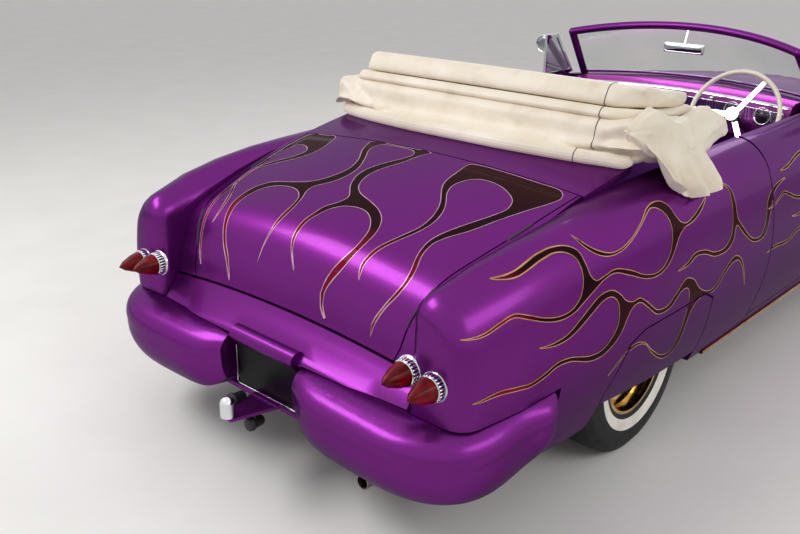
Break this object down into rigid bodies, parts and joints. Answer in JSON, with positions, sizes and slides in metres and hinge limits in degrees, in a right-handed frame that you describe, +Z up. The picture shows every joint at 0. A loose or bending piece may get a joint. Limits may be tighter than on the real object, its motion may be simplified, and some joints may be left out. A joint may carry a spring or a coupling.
{
  "type": "convertible car",
  "caption": "Two-door open touring car, lowered and smoothed, with a folded cloth roof, covered rear wheels, bullet tail lamps and a tow bar.",
  "frame": {"origin": "centre of the bounding box's bottom face, on the ground midway between the front bumper and the tow ball", "axes": "+X forward, +Y to the car's left, +Z up"},
  "size_m": [5.2452, 1.9276, 1.4329],
  "materials": {
    "car_paint": "deep candy purple over metallic, high gloss",
    "chrome": "polished plating",
    "trim_gold": "warm plated trim",
    "red_lens": "clear red lens",
    "clear_glass": "clear",
    "mirror": "plated shell with a silvered face",
    "plate": "satin black, blank",
    "black_frame": "satin black chassis paint",
    "underside": "dark floor paint",
    "exhaust_steel": "bright steel",
    "seat_purple": "purple vinyl with cream panels",
    "roof_cloth": "cream folded cloth",
    "dash_paint": "pink candy dash with plated face",
    "wheel_cream": "cream rim",
    "wheel_paint": "purple wheel with plated ring",
    "tyre": "black with wide white side bands",
    "cast": "plain"
  },
  "bodies": {
    "body": {"chassis_frame": "black_frame", "cowl": "car_paint", "dashboard": "dash_paint", "deck_panel": "car_paint", "engine": "cast", "exhaust": "exhaust_steel", "floor_pan": "underside", "folded_top": "roof_cloth", "front_bumper": "car_paint", "front_fenders": "car_paint", "front_seat": "seat_purple", "front_suspension": "black_frame", "fuel_tank": "black_frame", "grille": "chrome", "headlamps": "clear_glass", "interior_mirror": "mirror", "nose_panel": "car_paint", "number_plate": "plate", "quarter_panels": "car_paint", "rear_axle": "black_frame", "rear_bumpers": "car_paint", "rear_seat": "seat_purple", "rear_valance": "car_paint", "sill_strips": "trim_gold", "sills": "car_paint", "steering_column": "chrome", "tail_lamp_bezels": "chrome", "tail_lamp_lenses": "red_lens", "tow_ball": "chrome", "tow_bar": "car_paint", "wheel_skirts": "car_paint", "windscreen_frame": "car_paint", "windscreen_glass": "clear_glass"},
    "hood": {"hood": "car_paint"},
    "boot_lid": {"boot_lid": "car_paint"},
    "steering_wheel": {"steering_wheel": "wheel_cream"},
    "door_left": {"door_left": "car_paint", "vent_window_left": "chrome", "door_mirror_left": "mirror"},
    "knuckle_left": {"knuckle_left": "cast"},
    "wheel_front_left": {"wheel_front_left": "wheel_paint", "tyre_front_left": "tyre"},
    "wheel_rear_left": {"wheel_rear_left": "wheel_paint", "tyre_rear_left": "tyre"},
    "door_right": {"door_right": "car_paint", "vent_window_right": "chrome", "door_mirror_right": "mirror"},
    "knuckle_right": {"knuckle_right": "cast"},
    "wheel_front_right": {"wheel_front_right": "wheel_paint", "tyre_front_right": "tyre"},
    "wheel_rear_right": {"wheel_rear_right": "wheel_paint", "tyre_rear_right": "tyre"}
  },
  "joints": [
    {"name": "steer_left", "type": "hinge", "parent": "body", "child": "knuckle_left", "pos_m": [1.675, 0.668, 0.355], "axis": [0, 0, 1], "range_deg": [-30, 30]},
    {"name": "roll_front_left", "type": "hinge", "parent": "knuckle_left", "child": "wheel_front_left", "pos_m": [1.675, 0.768, 0.355], "axis": [0, 1, 0], "continuous": true},
    {"name": "roll_rear_left", "type": "hinge", "parent": "body", "child": "wheel_rear_left", "pos_m": [-1.325, 0.768, 0.355], "axis": [0, 1, 0], "continuous": true},
    {"name": "open_door_left", "type": "hinge", "parent": "body", "child": "door_left", "pos_m": [0.563, 0.957, 0.65], "axis": [0, 0, -1], "range_deg": [0, 65]},
    {"name": "steer_right", "type": "hinge", "parent": "body", "child": "knuckle_right", "pos_m": [1.675, -0.668, 0.355], "axis": [0, 0, 1], "range_deg": [-30, 30]},
    {"name": "roll_front_right", "type": "hinge", "parent": "knuckle_right", "child": "wheel_front_right", "pos_m": [1.675, -0.768, 0.355], "axis": [0, 1, 0], "continuous": true},
    {"name": "roll_rear_right", "type": "hinge", "parent": "body", "child": "wheel_rear_right", "pos_m": [-1.325, -0.768, 0.355], "axis": [0, 1, 0], "continuous": true},
    {"name": "open_door_right", "type": "hinge", "parent": "body", "child": "door_right", "pos_m": [0.563, -0.957, 0.65], "axis": [0, 0, 1], "range_deg": [0, 65]},
    {"name": "open_hood", "type": "hinge", "parent": "body", "child": "hood", "pos_m": [0.838, 0, 1.118], "axis": [0, -1, 0], "range_deg": [0, 50]},
    {"name": "open_boot_lid", "type": "hinge", "parent": "body", "child": "boot_lid", "pos_m": [-1.587, 0, 1.08], "axis": [0, 1, 0], "range_deg": [0, 55]},
    {"name": "turn_steering_wheel", "type": "hinge", "parent": "body", "child": "steering_wheel", "pos_m": [0.273, -0.415, 1.028], "axis": [-0.9063, 0, 0.4226], "range_deg": [-450, 450]}
  ],
  "couplings": [
    {"joint": "steer_right", "follows": "steer_left", "ratio": 1},
    {"joint": "turn_steering_wheel", "follows": "steer_left", "ratio": 15}
  ]
}
